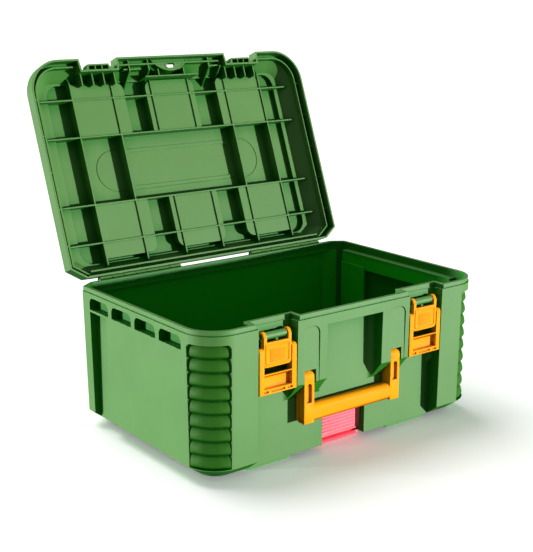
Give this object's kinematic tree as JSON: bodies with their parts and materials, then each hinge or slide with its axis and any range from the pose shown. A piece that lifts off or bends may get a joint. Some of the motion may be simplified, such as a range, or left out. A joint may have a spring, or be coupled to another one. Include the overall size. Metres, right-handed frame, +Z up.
{
  "type": "plastic tool box",
  "caption": "Rectangular plastic tool box with a hinged ribbed lid, draw latches, a folding front handle and a sliding stacking catch.",
  "frame": {"origin": "centre of the base, on the floor plane, midway between the front and rear walls of the tub", "axes": "+X to the box's right seen from the front, +Y to the rear, towards the hinge, +Z up"},
  "size_m": [0.4448, 0.4254, 0.4598],
  "materials": {
    "green_plastic": "fine moulded grain",
    "orange_plastic": "satin moulded",
    "coral_plastic": "satin moulded",
    "steel_pins": "drawn wire"
  },
  "bodies": {
    "tub": {"tub": "green_plastic", "hinge_pin_left": "steel_pins", "hinge_pin_right": "steel_pins", "handle_pin_left": "steel_pins", "handle_pin_right": "steel_pins"},
    "lid": {"lid": "green_plastic"},
    "handle": {"handle": "orange_plastic"},
    "lever_left": {"latch_lever_left": "orange_plastic", "latch_pin_left_outer": "steel_pins", "latch_pin_left_inner": "steel_pins"},
    "lever_right": {"latch_lever_right": "orange_plastic", "latch_pin_right_inner": "steel_pins", "latch_pin_right_outer": "steel_pins"},
    "hook_left": {"latch_hook_left": "orange_plastic"},
    "hook_right": {"latch_hook_right": "orange_plastic"},
    "stacking_catch": {"stacking_catch": "coral_plastic"}
  },
  "joints": [
    {"name": "lid_hinge", "type": "hinge", "parent": "tub", "child": "lid", "pos_m": [0, 0.1466, 0.1833], "axis": [1, 0, 0], "range_deg": [0, 111]},
    {"name": "handle_pivot", "type": "hinge", "parent": "tub", "child": "handle", "pos_m": [0, -0.1355, 0.1065], "axis": [-1, 0, 0], "range_deg": [0, 95]},
    {"name": "stacking_slide", "type": "slide", "parent": "tub", "child": "stacking_catch", "axis": [0, 0, 1], "range_m": [0, 0.007]},
    {"name": "lever_left_pivot", "type": "hinge", "parent": "tub", "child": "lever_left", "pos_m": [-0.1178, -0.138, 0.168], "axis": [1, 0, 0], "range_deg": [-130, 0]},
    {"name": "hook_left_pivot", "type": "hinge", "parent": "lever_left", "child": "hook_left", "pos_m": [-0.1178, -0.141, 0.151], "axis": [-1, 0, 0], "range_deg": [0, 178]},
    {"name": "lever_right_pivot", "type": "hinge", "parent": "tub", "child": "lever_right", "pos_m": [0.1178, -0.138, 0.168], "axis": [1, 0, 0], "range_deg": [-130, 0]},
    {"name": "hook_right_pivot", "type": "hinge", "parent": "lever_right", "child": "hook_right", "pos_m": [0.1178, -0.141, 0.151], "axis": [-1, 0, 0], "range_deg": [0, 178]}
  ]
}
